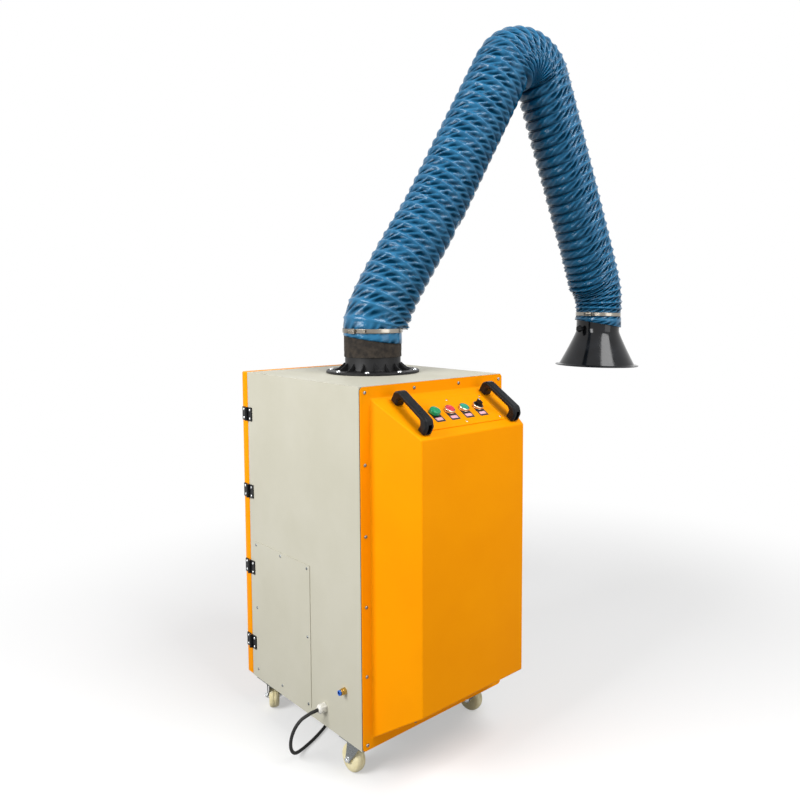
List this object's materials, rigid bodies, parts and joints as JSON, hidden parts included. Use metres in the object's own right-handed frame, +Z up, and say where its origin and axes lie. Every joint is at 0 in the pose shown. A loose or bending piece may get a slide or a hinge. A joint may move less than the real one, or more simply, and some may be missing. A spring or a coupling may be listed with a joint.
{
  "type": "mobile welding fume extractor",
  "caption": "Wheeled filter cabinet that draws welding fume through a swivelling, jointed hose arm with a conical suction hood.",
  "frame": {"origin": "on the floor, below the middle of the whole machine with its arm in the pose shown", "axes": "+Z up, -Y the cabinet's yellow front with the controls, +X the side that the arm reaches towards"},
  "size_m": [1.4318, 0.9046, 2.1045],
  "materials": {
    "yellow_paint": "satin powder coat",
    "grey_paint": "textured powder coat",
    "black_metal": "satin",
    "zinc": "zinc plated",
    "chrome": "polished",
    "brass": "bright",
    "aluminium": "cast",
    "black_plastic": "satin",
    "white_nylon": "matte",
    "cream_nylon": "satin",
    "switchgear": "matte",
    "red_plastic": "gloss",
    "green_plastic": "gloss",
    "black_rubber": "matte",
    "grey_rubber": "matte",
    "blue_hose": "coated, glossy",
    "filter_paper": "matte"
  },
  "bodies": {
    "cabinet": {"cabinet_shell": "grey_paint", "front_casing": "yellow_paint", "front_gasket": "black_rubber", "control_plate": "yellow_paint", "pilot_lamp": "green_plastic", "stop_switch_body": "switchgear", "start_switch_body": "switchgear", "selector_switch_body": "switchgear", "left_handle": "black_plastic", "right_handle": "black_plastic", "service_panel": "grey_paint", "cable_gland": "white_nylon", "air_inlet_fitting": "brass", "hinge_1": "black_metal", "hinge_2": "black_metal", "hinge_3": "black_metal", "hinge_4": "black_metal", "filter_bulkhead": "grey_paint", "filter_cartridge": "filter_paper", "filter_clamp_rod": "zinc", "dust_tray": "zinc", "spark_baffle": "zinc", "fan_housing": "zinc", "fan_motor": "aluminium", "air_tank": "black_metal", "pulse_valve": "aluminium", "electrical_panel": "switchgear", "roof_collar": "black_metal", "mains_cable": "black_rubber", "mains_cable_coil": "black_rubber", "mains_plug": "black_rubber", "caster_plate_front_left": "zinc", "caster_plate_front_right": "zinc", "caster_plate_rear_left": "zinc", "caster_plate_rear_right": "zinc"},
    "stop_button": {"stop_button": "red_plastic"},
    "start_button": {"start_button": "green_plastic"},
    "selector": {"selector_knob": "black_plastic"},
    "fan_rotor": {"fan_impeller": "aluminium"},
    "door": {"rear_door": "yellow_paint", "door_gasket": "black_rubber"},
    "lock": {"door_lock": "black_plastic"},
    "swivel": {"swivel_sleeve": "grey_rubber"},
    "lower_arm": {"lower_support_arm": "zinc", "hose_shoulder_bend": "blue_hose", "hose_lower": "blue_hose"},
    "upper_arm": {"upper_support_arm": "zinc", "hose_elbow_bend": "blue_hose", "hose_upper": "blue_hose"},
    "hood": {"suction_hood": "black_plastic", "hose_hood_bend": "blue_hose"},
    "damper": {"airflow_damper": "black_plastic"},
    "fork_front_left": {"caster_fork_front_left": "zinc"},
    "wheel_front_left": {"caster_wheel_front_left": "cream_nylon"},
    "fork_front_right": {"caster_fork_front_right": "zinc"},
    "wheel_front_right": {"caster_wheel_front_right": "cream_nylon"},
    "fork_rear_left": {"caster_fork_rear_left": "zinc"},
    "wheel_rear_left": {"caster_wheel_rear_left": "cream_nylon"},
    "fork_rear_right": {"caster_fork_rear_right": "zinc"},
    "wheel_rear_right": {"caster_wheel_rear_right": "cream_nylon"}
  },
  "joints": [
    {"name": "stop_press", "type": "slide", "parent": "cabinet", "child": "stop_button", "axis": [0, 0.5231, -0.8523], "range_m": [0, 0.004], "stiffness_N_per_m": 800, "springref_m": -0.002},
    {"name": "start_press", "type": "slide", "parent": "cabinet", "child": "start_button", "axis": [0, 0.5231, -0.8523], "range_m": [0, 0.004], "stiffness_N_per_m": 800, "springref_m": -0.002},
    {"name": "selector_turn", "type": "hinge", "parent": "cabinet", "child": "selector", "pos_m": [-0.3321, -0.30109, 0.94106], "axis": [0, -0.5231, 0.8523], "range_deg": [-45, 45]},
    {"name": "fan_spin", "type": "hinge", "parent": "cabinet", "child": "fan_rotor", "pos_m": [-0.4086, 0.0705, 0.1], "axis": [0, 0, 1], "continuous": true},
    {"name": "door_hinge", "type": "hinge", "parent": "cabinet", "child": "door", "pos_m": [-0.6637, 0.32, 0.1], "axis": [0, 0, 1], "range_deg": [0, 170]},
    {"name": "lock_turn", "type": "hinge", "parent": "door", "child": "lock", "pos_m": [-0.2046, 0.32, 0.5575], "axis": [0, 1, 0], "range_deg": [0, 90]},
    {"name": "caster_swivel_front_left", "type": "hinge", "parent": "cabinet", "child": "fork_front_left", "pos_m": [-0.6256, -0.1675, 0.1], "axis": [0, 0, 1], "continuous": true},
    {"name": "wheel_roll_front_left", "type": "hinge", "parent": "fork_front_left", "child": "wheel_front_left", "pos_m": [-0.6256, -0.1435, 0.0375], "axis": [1, 0, 0], "continuous": true},
    {"name": "caster_swivel_front_right", "type": "hinge", "parent": "cabinet", "child": "fork_front_right", "pos_m": [-0.1916, -0.1675, 0.1], "axis": [0, 0, 1], "continuous": true},
    {"name": "wheel_roll_front_right", "type": "hinge", "parent": "fork_front_right", "child": "wheel_front_right", "pos_m": [-0.19576, -0.14386, 0.0375], "axis": [0.9848, 0.1736, 0], "continuous": true},
    {"name": "caster_swivel_rear_left", "type": "hinge", "parent": "cabinet", "child": "fork_rear_left", "pos_m": [-0.6256, 0.2565, 0.1], "axis": [0, 0, 1], "continuous": true},
    {"name": "wheel_roll_rear_left", "type": "hinge", "parent": "fork_rear_left", "child": "wheel_rear_left", "pos_m": [-0.6136, 0.27729, 0.0375], "axis": [0.866, -0.5, 0], "continuous": true},
    {"name": "caster_swivel_rear_right", "type": "hinge", "parent": "cabinet", "child": "fork_rear_right", "pos_m": [-0.1916, 0.2565, 0.1], "axis": [0, 0, 1], "continuous": true},
    {"name": "wheel_roll_rear_right", "type": "hinge", "parent": "fork_rear_right", "child": "wheel_rear_right", "pos_m": [-0.18538, 0.27968, 0.0375], "axis": [0.9659, -0.2588, 0], "continuous": true},
    {"name": "arm_swivel", "type": "hinge", "parent": "cabinet", "child": "swivel", "pos_m": [-0.3896, 0.0685, 1.015], "axis": [0, 0, 1], "continuous": true},
    {"name": "shoulder_tilt", "type": "hinge", "parent": "swivel", "child": "lower_arm", "pos_m": [-0.3896, 0.0685, 1.1345], "axis": [-0.1392, -0.9903, 0], "range_deg": [-30, 35], "deforming": ["hose_shoulder_bend"]},
    {"name": "elbow_bend", "type": "hinge", "parent": "lower_arm", "child": "upper_arm", "pos_m": [0.17741, -0.01119, 2.01537], "axis": [-0.1392, -0.9903, 0], "range_deg": [-8, 90], "deforming": ["hose_elbow_bend"]},
    {"name": "hood_tilt", "type": "hinge", "parent": "upper_arm", "child": "hood", "pos_m": [0.54016, -0.06217, 1.25164], "axis": [-0.1392, -0.9903, 0], "range_deg": [-35, 35], "deforming": ["hose_hood_bend"]},
    {"name": "damper_turn", "type": "hinge", "parent": "hood", "child": "damper", "pos_m": [0.53677, -0.06169, 1.12069], "axis": [0.9899, -0.1391, -0.0262], "range_deg": [0, 90]}
  ]
}
